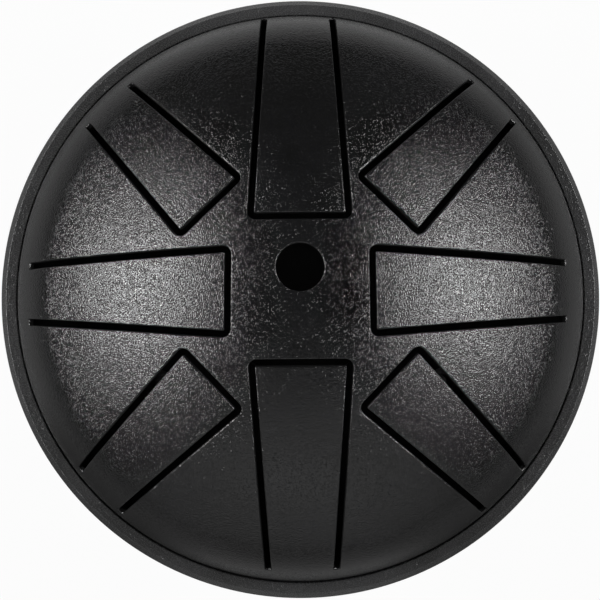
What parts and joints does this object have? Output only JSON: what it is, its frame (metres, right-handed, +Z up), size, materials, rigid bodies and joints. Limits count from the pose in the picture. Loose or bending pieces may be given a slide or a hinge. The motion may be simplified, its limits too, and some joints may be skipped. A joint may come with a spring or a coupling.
{
  "type": "steel tongue drum",
  "caption": "Round black steel tongue drum: pressed shells joined by a rolled rim, tongues cut round a sound hole, a port below and rubber feet.",
  "frame": {"origin": "on the surface the drum stands on, under the drum's axis", "axes": "+Z up along the drum's axis, +Y to the back, where the sound hole lies off the axis, +X to the right"},
  "size_m": [0.15, 0.15, 0.08],
  "materials": {
    "powder_coat": "black powder coat with a fine sand texture, satin",
    "rubber": "matt black",
    "zinc_steel": "bright zinc plate"
  },
  "bodies": {
    "shell": {"top_shell": "powder_coat", "rim_ring": "powder_coat", "bottom_shell": "powder_coat", "foot_1": "rubber", "foot_2": "rubber", "foot_3": "rubber", "foot_screw_1": "zinc_steel", "foot_screw_2": "zinc_steel", "foot_screw_3": "zinc_steel", "foot_washer_1": "zinc_steel", "foot_washer_2": "zinc_steel", "foot_washer_3": "zinc_steel", "foot_nut_1": "zinc_steel", "foot_nut_2": "zinc_steel", "foot_nut_3": "zinc_steel"},
    "tongue_1": {"tongue_1": "powder_coat"},
    "tongue_2": {"tongue_2": "powder_coat"},
    "tongue_3": {"tongue_3": "powder_coat"},
    "tongue_4": {"tongue_4": "powder_coat"},
    "tongue_5": {"tongue_5": "powder_coat"},
    "tongue_6": {"tongue_6": "powder_coat"},
    "tongue_7": {"tongue_7": "powder_coat"},
    "tongue_8": {"tongue_8": "powder_coat"}
  },
  "joints": [
    {"name": "back_tongue_bend", "type": "hinge", "parent": "shell", "child": "tongue_1", "pos_m": [0, 0.06917, 0.04866], "axis": [-1, 0, 0], "range_deg": [-1, 1], "stiffness_Nm_per_rad": 90},
    {"name": "back_right_tongue_bend", "type": "hinge", "parent": "shell", "child": "tongue_2", "pos_m": [0.04752, 0.0474, 0.05375], "axis": [-0.7145, 0.6997, 0], "range_deg": [-1, 1], "stiffness_Nm_per_rad": 90},
    {"name": "right_tongue_bend", "type": "hinge", "parent": "shell", "child": "tongue_3", "pos_m": [0.06453, 0.00049, 0.05739], "axis": [-0.0105, 0.9999, 0], "range_deg": [-1, 1], "stiffness_Nm_per_rad": 90},
    {"name": "front_right_tongue_bend", "type": "hinge", "parent": "shell", "child": "tongue_4", "pos_m": [0.04974, -0.04787, 0.04917], "axis": [0.6896, 0.7242, 0], "range_deg": [-1, 1], "stiffness_Nm_per_rad": 90},
    {"name": "front_tongue_bend", "type": "hinge", "parent": "shell", "child": "tongue_5", "pos_m": [0, -0.06651, 0.05476], "axis": [1, 0, 0], "range_deg": [-1, 1], "stiffness_Nm_per_rad": 90},
    {"name": "front_left_tongue_bend", "type": "hinge", "parent": "shell", "child": "tongue_6", "pos_m": [-0.04924, -0.04721, 0.05151], "axis": [0.6871, -0.7266, 0], "range_deg": [-1, 1], "stiffness_Nm_per_rad": 90},
    {"name": "left_tongue_bend", "type": "hinge", "parent": "shell", "child": "tongue_7", "pos_m": [-0.06596, 0.00076, 0.05558], "axis": [-0.0157, -0.9999, 0], "range_deg": [-1, 1], "stiffness_Nm_per_rad": 90},
    {"name": "back_left_tongue_bend", "type": "hinge", "parent": "shell", "child": "tongue_8", "pos_m": [-0.04645, 0.0469, 0.0555], "axis": [-0.7254, -0.6884, 0], "range_deg": [-1, 1], "stiffness_Nm_per_rad": 90}
  ]
}
